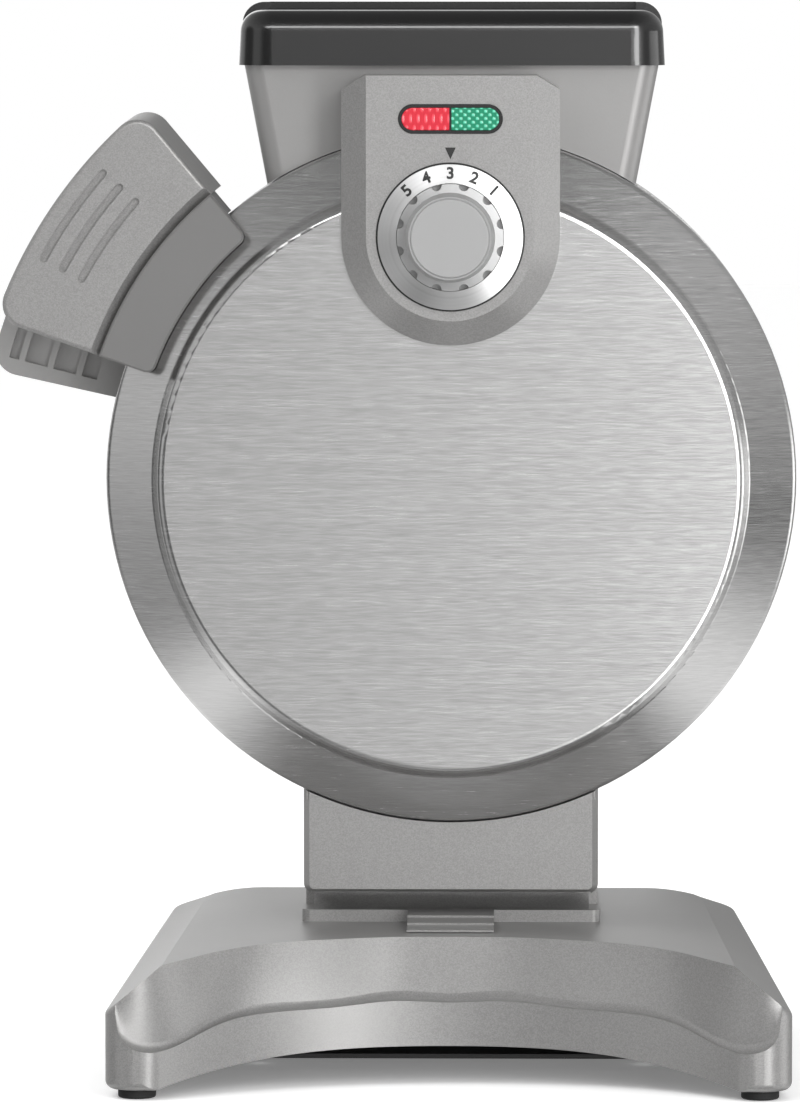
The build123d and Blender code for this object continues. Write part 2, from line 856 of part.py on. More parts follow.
skirt_rim, skirt_foot = knob_skirt
knob_outline = turned(
    [
        (0, dial_back_y),
        (knob_r, dial_back_y),
        (knob_r, dial_back_y + skirt_rim),
        (knob_boss_r, dial_back_y + skirt_foot),
        (knob_top_r, dial_back_y + knob_height),
        (0, dial_back_y + knob_height),
    ],
    front,
)
with BuildPart() as knob:
    add(knob_outline.moved(Location((0, 0, panel_arc_z - disc_z))))
    with BuildSketch(facing(front, dial_back_y + knob_notch_low, panel_arc_z)):
        with PolarLocations(knob_r, knob_notches, start_angle=15):
            Circle(knob_notch_r)
    extrude(amount=knob_height, mode=Mode.SUBTRACT)
    with BuildSketch(facing(front, dial_back_y + knob_height, panel_arc_z)):
        Circle(cap_r + slide_fit)
    extrude(amount=-cap_height, mode=Mode.SUBTRACT)
    with Locations(facing(front, dial_back_y + 8, panel_arc_z)):
        Hole(shaft_r + 0.02, depth=8)
finish(knob.part, "knob")

cap_back_y = dial_back_y + knob_height - cap_height
with BuildPart(facing(front, cap_back_y, panel_arc_z)) as knob_cap:
    Cylinder(cap_r, cap_height + 0.6, align=(Align.CENTER, Align.CENTER, Align.MIN))
    fillet(knob_cap.faces().sort_by(Axis.Y)[0].edges(), 0.5)
finish(knob_cap.part, "knob_cap")

shaft_back_y = thermostat_back_y + 4
finish(rod(shaft_r, (0, -shaft_back_y, panel_arc_z), (0, -dial_back_y - 7.9, panel_arc_z)), "dial_shaft")


# Handles
def sector(depth, r_in, r_out, high, low, inner_corner=0.0):
    """A sector of a ring about the disc's axis, at a signed depth, facing the front."""
    with BuildSketch(sector_plane(depth)) as face:
        with BuildLine():
            inner = CenterArc((0, 0), r_in, high, low - high)
            outer = CenterArc((0, 0), r_out, high, low - high)
            Line(inner @ 0, outer @ 0)
            Line(inner @ 1, outer @ 1)
        make_face()
        if inner_corner:
            middle_r = (r_in + r_out) / 2
            fillet([v for v in face.vertices() if hypot(v.X, v.Y) < middle_r], inner_corner)
    return face.sketch


def sector_plane(depth):
    """A plane square to Y, at a signed depth, whose x runs along +X and which faces the front."""
    return Plane((0, depth, disc_z), x_dir=(1, 0, 0), z_dir=(0, -1, 0))


def place_r(shape):
    """How far the middle of an edge or a face lies from the disc's axis."""
    return hypot(shape.center().X, shape.center().Z - disc_z)


def arc_slots(depth, radii, angles, width):
    """Round-ended slots that run about the disc's axis."""
    with BuildSketch(sector_plane(depth)) as slots:
        for radius in radii:
            with BuildLine(mode=Mode.PRIVATE) as path:
                CenterArc((0, 0), radius, angles[0], angles[1] - angles[0])
            SlotArc(path.wire(), width)
    return slots.sketch


clip_x, clip_z = polar(clip_r, clip_deg)
clip_turn = Location((clip_x, 0, disc_z + clip_z), (0, -clip_deg, 0))


def clip_block(half_height, y_range, width):
    """A block at the clip's place, half_height to each side along the radius."""
    return block((-half_height, half_height), y_range, (-width / 2, width / 2)).moved(clip_turn)


clear_disc = turned(cover_corners(half_gap) + [(disc_r + half_gap, 0), (0, 0)], front)
with BuildPart() as handle_bracket:
    radii, angles = (bracket_in_r, bracket_out_r), (handle_high_deg, handle_low_deg)
    extrude(sector(-handle_root_y, *radii, *angles, bracket_corner_r), amount=bracket_y - handle_root_y)
    chamfer(handle_bracket.faces().sort_by(Axis.Y)[0].edges(), bracket_edge)
    add(clear_disc, mode=Mode.SUBTRACT)
    for angle in handle_screw_deg:
        add(radial_rod(screw_r + run_fit, front, angle, bracket_in_r, bracket_out_r + 5), mode=Mode.SUBTRACT)
finish(handle_bracket.part, "handle_bracket")

grip_spare_deg = 3.0


def grip_slope():
    """What is cut off the grip's upper side, so that it slopes out from the crest to the back."""
    x, z = polar(grip_r, handle_high_deg)
    way = radians(handle_high_deg)
    run = grip_y - grip_back_y
    normal = (run * sin(way), -grip_flare, -run * cos(way))
    with BuildPart(Plane((x, -grip_y, disc_z + z), x_dir=(cos(way), 0, sin(way)), z_dir=normal)) as cut:
        Box(3 * grip_r, 3 * grip_r, grip_r, align=(Align.CENTER, Align.CENTER, Align.MIN))
    return cut.part


valley_width, valley_depth = grip_valley
with BuildPart() as handle_grip:
    extrude(
        sector(-grip_back_y, bracket_out_r, grip_r, handle_high_deg - grip_spare_deg, handle_low_deg),
        amount=grip_y - grip_back_y,
    )
    add(grip_slope(), mode=Mode.SUBTRACT)
    uprights = [e for e in handle_grip.edges() if -grip_y < e.center().Y < -grip_back_y]
    fillet([e for e in uprights if place_r(e) > grip_r - 1], grip_corner_r)
    crest = handle_grip.faces().sort_by(Axis.Y)[0]
    fillet([e for e in crest.edges() if place_r(e) > bracket_out_r + 3], grip_edge_r)
    valley = [
        (bracket_out_r - 1, grip_y + 1),
        (bracket_out_r + valley_width, grip_y + 1),
        (bracket_out_r + valley_width, grip_y),
        (bracket_out_r + 0.4 * valley_width, grip_y - 0.6 * valley_depth),
        (bracket_out_r, grip_y - valley_depth),
        (bracket_out_r - 1, grip_y - valley_depth),
    ]
    add(turned(valley, front), mode=Mode.SUBTRACT)
    extrude(
        arc_slots(-grip_y, grip_groove_r, grip_groove_deg, grip_groove_width),
        amount=-grip_groove_depth,
        mode=Mode.SUBTRACT,
    )
    for angle in handle_screw_deg:
        hole = radial_rod(screw_r + run_fit, front, angle, bracket_out_r - 1, handle_screw_end_r)
        add(hole, mode=Mode.SUBTRACT)
    pocket = clip_block(clip_bump_r + half_gap, (clip_tip_y - 1, 1 - grip_back_y), clip_width + 2 * free_gap)
    add(pocket, mode=Mode.SUBTRACT)
finish(handle_grip.part, "handle_grip")

rear_handle_y = 1.5
seat_edge = seam_y - 2 * slide_fit
clear_rear = turned(
    [
        (0, 0),
        (bezel_r + slide_fit, 0),
        (bezel_r + slide_fit, seat_edge),
        (disc_r + slide_fit, seat_edge),
        (disc_r + slide_fit, 60),
        (0, 60),
    ],
    rear,
)
with BuildPart() as rear_handle:
    extrude(
        sector(rear_handle_back_y, bezel_r - 3, grip_r - 1, rear_handle_high_deg, rear_handle_low_deg),
        amount=rear_handle_back_y - rear_handle_y,
    )
    uprights = rear_handle.edges().filter_by(Axis.Y)
    fillet([e for e in uprights if place_r(e) > grip_r - 3], 8.0)
    extrude(
        sector(rear_handle_y, bezel_r + 9, grip_r - 6, *rear_pocket_deg)
        - arc_slots(rear_handle_y, rear_rib_r, (rear_pocket_deg[0] - 2, rear_pocket_deg[1] + 2), 2.0),
        amount=-rear_pocket_depth,
        mode=Mode.SUBTRACT,
    )
    add(clear_rear, mode=Mode.SUBTRACT)
    for angle in rear_screw_deg:
        add(radial_rod(screw_r + run_fit, rear, angle, bezel_r - 2, rear_screw_end_r), mode=Mode.SUBTRACT)
    add(clip_block(clip_wall / 2 + run_fit, (0, clip_root_y), clip_width + 2 * run_fit), mode=Mode.SUBTRACT)
finish(rear_handle.part, "rear_handle")

finish(radial_screws(front, handle_screw_deg, handle_screw_end_r - plate_r), "handle_screws")
finish(radial_screws(rear, rear_screw_deg, rear_screw_end_r - plate_r), "rear_handle_screws")

bump_y = clip_tip_y + 2 * clip_bump_r
with BuildPart() as detent_clip:
    add(clip_block(clip_wall / 2, (clip_tip_y, clip_root_y - run_fit), clip_width))
    add(rod(clip_bump_r, (0, bump_y, -clip_width / 2), (0, bump_y, clip_width / 2)).moved(clip_turn))
finish(detent_clip.part, "detent_clip")

# Neck and hinge
saddle_r = disc_r + half_gap
hinge_axis_start = (-50, hinge_y, hinge_z)
hinge_axis_end = (50, hinge_y, hinge_z)
lug_low_x = hinge_arm_width / 2 + hinge_lug_gap
lug_high_x = neck_width / 2 - neck_wall
lug_wall = 12.0
heel_r = -hinge_y - half_gap - 0.2  # sweep of the leaf's heel, short of the parting plane


def ring_block(side, x_half, depth):
    """A saddle under the disc, as wide as the neck."""
    outer_r = saddle_r + saddle_wall
    with BuildPart() as saddle:
        add(turned([(saddle_r, half_gap), (outer_r, half_gap), (outer_r, depth), (saddle_r, depth)], side))
        add(block((-x_half, x_half), (-100, 100), (0, disc_z - 50)), mode=Mode.INTERSECT)
    return saddle.part


under_disc = turned([(0, -1), (saddle_r, -1), (saddle_r, 60), (0, 60)], front)
under_disc_rear = turned([(0, -1), (saddle_r, -1), (saddle_r, 60), (0, 60)], rear)
neck_half = neck_width / 2
neck_top_z = disc_z - sqrt(saddle_r**2 - neck_half**2)

with BuildPart() as heel_cut:
    add(block((-neck_half - 1, neck_half + 1), (-14, 1), (leaf_low_z - 1, hinge_z)))
    add(rod(heel_r, hinge_axis_start, hinge_axis_end), mode=Mode.SUBTRACT)

with BuildPart() as lid_leaf:
    add(block((-neck_half, neck_half), (-leaf_y, -half_gap), (leaf_low_z, neck_top_z + 5)))
    fillet(lid_leaf.edges().filter_by(Axis.Y).group_by(Axis.Z)[0], leaf_corner_r)
    face = lid_leaf.faces().sort_by(Axis.Y)[0]
    border = face.edges().sort_by(Axis.Z)[:-1]
    chamfer(border, leaf_bevel_depth, leaf_bevel, reference=face)
    inner_half = neck_half - neck_wall
    add(block((-inner_half, inner_half), (-leaf_y + neck_wall, 1), (0, disc_z)), mode=Mode.SUBTRACT)
    add(ring_block(front, neck_half - 1, leaf_y - 1))
    for sign in (-1, 1):
        low_x, high_x = sorted((sign * lug_low_x, sign * (lug_low_x + lug_wall)))
        lug_y = (-leaf_y + neck_wall - 0.5, hinge_y)
        add(block((low_x, high_x), lug_y, (hinge_z - hinge_barrel_r, hinge_z + hinge_barrel_r)))
        add(rod(hinge_barrel_r, (low_x, hinge_y, hinge_z), (high_x, hinge_y, hinge_z)))
    add(heel_cut.part, mode=Mode.SUBTRACT)
    add(under_disc, mode=Mode.SUBTRACT)
    add(rod(hinge_pin_r, hinge_axis_start, hinge_axis_end), mode=Mode.SUBTRACT)
    for x in (-leaf_screw_x, leaf_screw_x):
        hole = rod(screw_r + run_fit, (x, -leaf_screw_y, hinge_z + 6), (x, -leaf_screw_y, disc_z - ledge_r))
        add(hole, mode=Mode.SUBTRACT)
finish(lid_leaf.part, "lid_leaf")

pin_half = lug_low_x + lug_wall
finish(rod(hinge_pin_r, (-pin_half, hinge_y, hinge_z), (pin_half, hinge_y, hinge_z)), "hinge_pin")


def saddle_screws(side):
    """Two screws up through a saddle into its bezel."""
    places = []
    for x in (-leaf_screw_x, leaf_screw_x):
        low_x = abs(x) - screw_head_r
        seat_z = disc_z - sqrt((saddle_r + saddle_wall) ** 2 - low_x**2)
        places.append(((x, side * leaf_screw_y, seat_z), (0, 0, 1), 9.0))
    return screws(places)


finish(saddle_screws(front), "leaf_screws")
finish(saddle_screws(rear), "neck_head_screws")

arm_half = hinge_arm_width / 2
pedestal_half = lug_high_x - free_gap
flange_top_z = base_top_z + flange_height
cove_y, cove_high_z = flange_front_y + 0.8, hinge_z - hinge_barrel_r + 0.8
with BuildPart() as neck_shell:
    add(block((-neck_half, neck_half), (half_gap, neck_back_y), (flange_top_z, neck_top_z + 5)))
    with BuildSketch(Plane.XY.offset(base_top_z)):
        flange_depth = flange_back_y - flange_front_y
        with Locations((0, (flange_back_y + flange_front_y) / 2)):
            RectangleRounded(flange_width, flange_depth, 2.5)
    extrude(amount=flange_height)
    with BuildSketch(Plane.YZ.offset(-pedestal_half)):
        with BuildLine():
            cove_top = (cove_y + cove_r, flange_top_z + cove_r)
            Polyline(
                (cove_y, flange_top_z),
                (half_gap + 1, flange_top_z),
                (half_gap + 1, cove_high_z),
                (cove_top[0], cove_high_z),
                cove_top,
            )
            RadiusArc(cove_top, (cove_y, flange_top_z), cove_r)
        make_face()
    extrude(amount=2 * pedestal_half)
    add(
        block(
            (-arm_half, arm_half),
            (hinge_y, half_gap + 1),
            (hinge_z - hinge_barrel_r + 0.2, hinge_z + hinge_barrel_r - 0.2),
        )
    )
    add(rod(hinge_barrel_r, (-arm_half, hinge_y, hinge_z), (arm_half, hinge_y, hinge_z)))
    spigot_half = spigot_width / 2
    add(block((-spigot_half, spigot_half), (spigot_front_y, spigot_back_y), (spigot_low_z, base_top_z + 1)))
    well_half = spigot_half - neck_wall
    add(
        block(
            (-well_half, well_half),
            (spigot_front_y + neck_wall, spigot_back_y - neck_wall),
            (spigot_low_z - 1, flange_top_z + 6),
        ),
        mode=Mode.SUBTRACT,
    )
    inner_half = neck_half - neck_wall
    add(
        block(
            (-inner_half, inner_half),
            (half_gap + neck_wall, neck_back_y + 1),
            (flange_top_z + 2, disc_z),
        ),
        mode=Mode.SUBTRACT,
    )
    add(ring_block(rear, neck_half - 1, neck_back_y))
    add(under_disc_rear, mode=Mode.SUBTRACT)
    add(rod(hinge_pin_r + run_fit, hinge_axis_start, hinge_axis_end), mode=Mode.SUBTRACT)
    for x in (-leaf_screw_x, leaf_screw_x):
        hole = rod(screw_r + run_fit, (x, leaf_screw_y, hinge_z + 6), (x, leaf_screw_y, disc_z - ledge_r))
        add(hole, mode=Mode.SUBTRACT)
    bolt_top_z = base_top_z - base_wall - half_gap
    notch_half = bolt_body_width / 2 + free_gap
    add(
        block(
            (-notch_half, notch_half),
            (spigot_front_y - 1, spigot_front_y + neck_wall + 1),
            (bolt_top_z - bolt_body_height - free_gap, bolt_top_z + half_gap - 0.05),
        ),
        mode=Mode.SUBTRACT,
    )
finish(neck_shell.part, "neck_shell")

neck_screw_z = (flange_top_z + 8, neck_top_z - 8)
neck_screw_places = [(sign * (neck_half - 5.5), z) for sign in (-1, 1) for z in neck_screw_z]
with BuildPart() as neck_cover:
    add(
        block(
            (-neck_half, neck_half),
            (neck_back_y + run_fit, neck_back_y + neck_cover_wall),
            (flange_top_z + run_fit, neck_top_z + 5),
        )
    )
    add(under_disc_rear, mode=Mode.SUBTRACT)
    back = neck_cover.faces().sort_by(Axis.Y)[-1]
    fillet(back.edges().filter_by(Axis.Z), 1.2)
    for x, z in neck_screw_places:
        add(rod(screw_r + slide_fit, (x, neck_back_y, z), (x, neck_back_y + 5, z)), mode=Mode.SUBTRACT)
finish(neck_cover.part, "neck_cover")

# Base
def base_profile(half, edge_z, crown, y, inset=0.0):
    """A cross-section of the base: flat top, soft crown, sloping facet and upright side."""
    top_z = base_top_z - inset
    side = half - inset
    crown_x, crown_z, flat = crown[0] - inset, crown[1] - inset, crown[2]
    low = base_low_z - (1 if inset else 0)
    middle_x = (flat + crown_x) / 2
    middle_z = top_z - (top_z - crown_z) * 0.25
    with BuildSketch(Plane((0, y, 0), x_dir=(1, 0, 0), z_dir=(0, -1, 0))) as face:
        with BuildLine():
            Polyline(
                (-crown_x, crown_z),
                (-side, edge_z - inset),
                (-side, low),
                (side, low),
                (side, edge_z - inset),
                (crown_x, crown_z),
            )
            ThreePointArc((crown_x, crown_z), (middle_x, middle_z), (flat, top_z))
            Line((flat, top_z), (-flat, top_z))
            ThreePointArc((-flat, top_z), (-middle_x, middle_z), (-crown_x, crown_z))
        make_face()
    return face.sketch


def base_block(inset=0.0):
    """The base's outer block, or the block of its hollow."""
    with BuildPart() as body:
        loft(
            [
                base_profile(base_back_half, base_back_edge_z, crown_back, base_back_y - inset, inset),
                base_profile(base_front_half, base_front_edge_z, crown_front, base_front_y + inset, inset),
            ],
            ruled=True,
        )
        corners = body.edges().filter_by(Axis.Z).sort_by(Axis.Y)
        fillet(corners[2:], base_corner_r - inset)
        fillet(body.edges().filter_by(Axis.Z).sort_by(Axis.Y)[:2], leg_corner_r - inset)
        if not inset:
            long_edges = body.edges().filter_by(lambda e: e.length > base_back_half)
            fillet(long_edges.filter_by(lambda e: abs(e.center().X) > base_back_half), ridge_r)
    return body.part


def step_place(x):
    """Where the slope meets the lip, as (y, z), at a distance x from the middle."""
    x = abs(x)
    if x <= leg_inner:
        y = lip_y + lip_ledge - lip_r + sqrt(lip_r**2 - x**2)
        return y, lip_mid_z - (lip_mid_z - lip_end_z) * (x / leg_inner) ** 4
    turn = min((x - leg_inner) / leg_shoulder, 1.0)
    y = base_front_y - 0.4
    return y, lip_end_z + leg_shoulder * (1 - sqrt(1 - turn**2))


def crest_place(x):
    """Where the slope meets the top or, further out, the facet, as (y, z)."""
    x = abs(x)
    crown_x, crown_z, flat = crown_front
    if x <= crown_x:
        y = crest_y - crest_r + sqrt(crest_r**2 - x**2)
        drop = max(x - flat, 0) / (crown_x - flat)
        return y, base_top_z - (base_top_z - crown_z) * drop**2
    ridge_y, ridge_z = crest_place(crown_x)
    share = (x - crown_x) / (leg_inner + leg_shoulder - crown_x)
    end_y, end_z = base_front_y + 0.6, lip_end_z + leg_shoulder + 1
    return ridge_y + (end_y - ridge_y) * share, ridge_z + (end_z - ridge_z) * share


def front_cut():
    """What is cut away in front of the slope, above the lip's ledge."""
    far, high = -200.0, 60.0
    outer = leg_inner + leg_shoulder
    shoulder = 0.4 * leg_inner + 0.6 * outer
    half_stations = (*[share * leg_inner for share in (0.3, 0.6, 0.82)], crown_front[0], shoulder, outer)
    stations = sorted([0.0, *half_stations, *[-x for x in half_stations]])
    faces = []
    for x in stations:
        (step_at, step_z), (crest_at, crest_z) = step_place(x), crest_place(x)
        foot_at = step_at + min(slope_foot, 0.3 * hypot(crest_at - step_at, crest_z - step_z))
        run, rise = crest_at - foot_at, crest_z - step_z
        reach = slope_foot_round * (foot_at - step_at)
        share = reach / hypot(run, rise)
        low_end = (foot_at - reach, step_z)
        high_end = (foot_at + share * run, step_z + share * rise)
        high_at = (foot_at + run * (high - step_z) / rise, high)
        with BuildSketch(Plane.YZ.offset(x)) as face:
            with BuildLine():
                Line((step_at, step_z), low_end)
                TangentArc(low_end, high_end, tangent=(1, 0))
                Polyline(high_end, high_at, (far, high), (far, step_z), (step_at, step_z))
            make_face()
        faces.append(face.sketch)
    with BuildPart() as cut:
        loft(faces)
    return cut.part


def lip_cut():
    """What is cut away in front of the lip's upright, curved face, which rounds into each leg."""
    far, front_y = 250.0, base_front_y
    half = sqrt(lip_r**2 - (front_y - lip_y + lip_r) ** 2)
    with BuildPart() as cut:
        with BuildSketch(Plane.XY.offset(-far / 2)) as plan:
            with BuildLine():
                Line((-far, front_y), (-half, front_y))
                ThreePointArc((-half, front_y), (0, lip_y), (half, front_y))
                Polyline((half, front_y), (far, front_y), (far, -far), (-far, -far), (-far, front_y))
            make_face()
            fillet([v for v in plan.vertices() if abs(abs(v.X) - half) < 1], leg_edge_r)
        extrude(amount=far)
    return cut.part


def arch_cut():
    """What is cut out under the lip: flat in the middle, steeper towards the legs."""
    drop = lip_mid_z - lip_height - base_low_z
    shares = (-1.0, -0.8, -0.55, 0.0, 0.55, 0.8, 1.0)
    crown = [(share * leg_inner, base_low_z + drop * (1 - abs(share) ** 3)) for share in shares]
    with BuildPart() as cut:
        with BuildSketch(Plane((0, floor_front_y, 0), x_dir=(1, 0, 0), z_dir=(0, -1, 0))):
            with BuildLine():
                Spline(*crown)
                Polyline(crown[-1], (leg_inner, -1), (-leg_inner, -1), crown[0])
            make_face()
        extrude(amount=floor_front_y - base_front_y + 5)
    return cut.part


slope_cut = front_cut()
foot_places = [(sign * x, y) for x, y in (foot_front, foot_back) for sign in (-1, 1)]
post_places = [(sign * x, y) for x, y in floor_posts for sign in (-1, 1)]
top_inside_z = base_top_z - base_wall
guide_low_z = bolt_top_z - bolt_body_height - half_gap
guide_half = bolt_body_width / 2 + free_gap
guide_wall = 2.0
guide_front_y = bolt_body_front_y - spring_turns * 1.7 - 2.2
guide_back_y = spigot_front_y - 3.0
slot_half = bolt_stem_width / 2 + free_gap
keeper_y = (guide_front_y + 4, guide_back_y - 2)
keeper_screw_places = [
    (sign * (guide_half + rail_width / 2), y) for sign in (-1, 1) for y in (keeper_y[0] + 5, keeper_y[1] - 5)
]

with BuildPart() as hollow:
    add(base_block(base_wall))
    add(slope_cut.moved(Location((0, base_wall, -base_wall))), mode=Mode.SUBTRACT)
    with Locations((0, lip_y + base_wall - lip_r, 0)):
        Cylinder(lip_r, 300, mode=Mode.SUBTRACT)

with BuildPart() as base_shell:
    add(base_block())
    add(slope_cut, mode=Mode.SUBTRACT)
    add(lip_cut(), mode=Mode.SUBTRACT)
    add(hollow.part, mode=Mode.SUBTRACT)
    add(arch_cut(), mode=Mode.SUBTRACT)
    for x, y in post_places:
        add(rod(floor_post_r, (x, y, plate_floor_z + floor_wall), (x, y, top_inside_z + 0.1)))
        add(rod(screw_r + run_fit, (x, y, 0), (x, y, plate_floor_z + floor_wall + 10)), mode=Mode.SUBTRACT)
    for x, y in foot_places:
        add(rod(foot_boss_r, (x, y, base_low_z), (x, y, base_low_z + 9)))
        add(rod(foot_stem_r + run_fit, (x, y, 0), (x, y, base_low_z + 6)), mode=Mode.SUBTRACT)
    add(
        block(
            (-spigot_half - half_gap, spigot_half + half_gap),
            (spigot_front_y - half_gap, spigot_back_y + half_gap),
            (top_inside_z - 1, base_top_z + 1),
        ),
        mode=Mode.SUBTRACT,
    )
    for sign in (-1, 1):
        low_x, high_x = sorted((sign * guide_half, sign * (guide_half + rail_width)))
        add(block((low_x, high_x), (guide_front_y, guide_back_y), (guide_low_z, top_inside_z + 0.1)))
    for x, y in keeper_screw_places:
        add(rod(screw_r + run_fit, (x, y, guide_low_z - 1), (x, y, guide_low_z + 4.2)), mode=Mode.SUBTRACT)
    add(
        block(
            (-guide_half - 1, guide_half + 1),
            (guide_front_y, guide_front_y + guide_wall),
            (guide_low_z, top_inside_z + 0.1),
        )
    )
    add(
        block(
            (-slot_half, slot_half),
            (bolt_stem_y[0] - bolt_travel - free_gap, bolt_stem_y[1] + free_gap),
            (top_inside_z - 1, base_top_z + 1),
        ),
        mode=Mode.SUBTRACT,
    )
    inlet_start, inlet_end = (inlet_x, base_back_y - 10, inlet_z), (inlet_x, base_back_y + 1, inlet_z)
    add(rod(inlet_r + slide_fit, inlet_start, inlet_end), mode=Mode.SUBTRACT)
finish(base_shell.part, "base_shell")

floor_back_y = base_back_y - base_wall - free_gap


def base_half_at(y):
    """Half of the base's width at a place along Y."""
    share = (y - base_front_y) / (base_back_y - base_front_y)
    return base_front_half + (base_back_half - base_front_half) * share


notch_x, notch_y = [place - foot_boss_r - free_gap for place in foot_back]
with BuildPart() as base_plate:
    with BuildSketch(Plane.XY.offset(plate_floor_z)):
        with BuildLine():
            near = base_half_at(floor_front_y) - base_wall - free_gap
            away = base_half_at(notch_y) - base_wall - free_gap
            Polyline(
                (-near, floor_front_y),
                (near, floor_front_y),
                (away, notch_y),
                (notch_x, notch_y),
                (notch_x, floor_back_y),
                (-notch_x, floor_back_y),
                (-notch_x, notch_y),
                (-away, notch_y),
                close=True,
            )
        make_face()
        with Locations(*post_places):
            Circle(screw_r + slide_fit, mode=Mode.SUBTRACT)
        with Locations((0, 20)):
            with GridLocations(0, 8, 1, 5):
                SlotOverall(60, 2.6, mode=Mode.SUBTRACT)
    extrude(amount=floor_wall)
finish(base_plate.part, "base_plate")
finish(screws([((x, y, plate_floor_z), (0, 0, 1), 9.0) for x, y in post_places]), "base_plate_screws")

feet = []
for x, y in foot_places:
    with BuildPart() as foot:
        with Locations((x, y, 0)):
            Cylinder(foot_r, foot_height - run_fit, align=(Align.CENTER, Align.CENTER, Align.MIN))
            Cylinder(foot_stem_r, foot_height + 5, align=(Align.CENTER, Align.CENTER, Align.MIN))
        fillet(foot.edges().group_by(Axis.Z)[0], 0.8)
    feet.append(foot.part)
finish(Compound(children=feet), "feet")

finish(
    screws([((x, neck_back_y + neck_cover_wall, z), (0, -1, 0), 8.0) for x, z in neck_screw_places]),
    "neck_cover_screws",
)

# Release bolt
bolt_low_z = base_top_z + half_gap
bolt_top_slope = [
    (bolt_front_y, 0.7),
    (-38.4, 1.5),
    (-38.0, 2.1),
    (-30.4, 2.9),
    (-30.0, 3.5),
    (bolt_back_y, 4.3),
]
with BuildPart() as release_bolt:
    with BuildSketch(Plane.YZ.offset(-bolt_width / 2)):
        with BuildLine():
            corners = [(y, bolt_low_z + rise) for y, rise in bolt_top_slope]
            Polyline((bolt_back_y, bolt_low_z), (bolt_front_y, bolt_low_z), *corners, close=True)
        make_face()
    extrude(amount=bolt_width)
    stem_half = bolt_stem_width / 2
    add(block((-stem_half, stem_half), bolt_stem_y, (bolt_top_z - 1, bolt_low_z + 0.5)))
    body_half = bolt_body_width / 2
    body_low_z = bolt_top_z - bolt_body_height
    add(block((-body_half, body_half), (bolt_body_front_y, bolt_nose_y), (body_low_z, bolt_top_z)))
finish(release_bolt.part, "release_bolt")

spring_front_y = guide_front_y + guide_wall
spring_length = bolt_body_front_y - spring_front_y
spring_z = bolt_top_z - bolt_body_height / 2
spring_run = spring_length - spring_wire - 2 * run_fit
with BuildPart() as bolt_spring:
    with BuildLine() as coil:
        coil_start = (0, spring_front_y + spring_wire / 2 + run_fit, spring_z)
        Helix(spring_run / spring_turns, spring_run, spring_r, center=coil_start, direction=(0, 1, 0))
    with BuildSketch(Plane(coil.line @ 0, z_dir=coil.line % 0)):
        Circle(spring_wire / 2)
    sweep(is_frenet=True)
finish(bolt_spring.part, "bolt_spring")

keeper_half = guide_half + rail_width
keeper_low_z = guide_low_z - keeper_wall
with BuildPart() as bolt_keeper:
    add(block((-keeper_half, keeper_half), keeper_y, (keeper_low_z, guide_low_z)))
    for x, y in keeper_screw_places:
        add(rod(screw_r + run_fit, (x, y, keeper_low_z - 1), (x, y, guide_low_z + 1)), mode=Mode.SUBTRACT)
finish(bolt_keeper.part, "bolt_keeper")
keeper_screws = [((x, y, keeper_low_z), (0, 0, 1), keeper_screw_length) for x, y in keeper_screw_places]
finish(screws(keeper_screws), "bolt_keeper_screws")

# Lead inlet and what it feeds
with BuildPart(facing(rear, base_back_y - base_wall - 3, inlet_z, inlet_x)) as lead_inlet:
    Cylinder(inlet_r, base_wall + 3.2, align=(Align.CENTER, Align.CENTER, Align.MIN))
    with Locations((0, 0, base_wall + 3.1)):
        Cylinder(inlet_r + 2, 2.4, align=(Align.CENTER, Align.CENTER, Align.MIN))
        Cone(inlet_r, inlet_r - 1.4, 7.0, align=(Align.CENTER, Align.CENTER, Align.MIN))
    Cylinder(inlet_bore_r, 60, mode=Mode.SUBTRACT)
finish(lead_inlet.part, "lead_inlet")

with BuildPart() as terminal_block:
    floor_z = plate_floor_z + floor_wall
    add(block((20, 50), (52, 64), (floor_z, floor_z + 10)))
    with Locations(Plane((35, 58, floor_z + 10))):
        with GridLocations(9, 0, 3, 1):
            Hole(1.8, depth=4)
finish(terminal_block.part, "terminal_block")

cutoff_y = reflector_y + run_fit + reflector_wall
with BuildPart(facing(rear, cutoff_y, disc_z - 60)) as thermal_cutoff:
    Cylinder(8, 5, align=(Align.CENTER, Align.CENTER, Align.MIN))
    Cylinder(4.5, 8, align=(Align.CENTER, Align.CENTER, Align.MIN))
finish(thermal_cutoff.part, "thermal_cutoff")
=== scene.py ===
# %% [markdown]
# # A vertical waffle maker
# The appliance is a round iron that stands on edge over a low base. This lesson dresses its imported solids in
# their finishes, adds the printed marks, and lights the whole as in a catalogue. Lengths are in metres, +Z is up
# and the front looks towards -Y. The solids come in first and are never moved.

# %% Load the solids
import json
import math

import bpy
from mathutils import Matrix, Vector


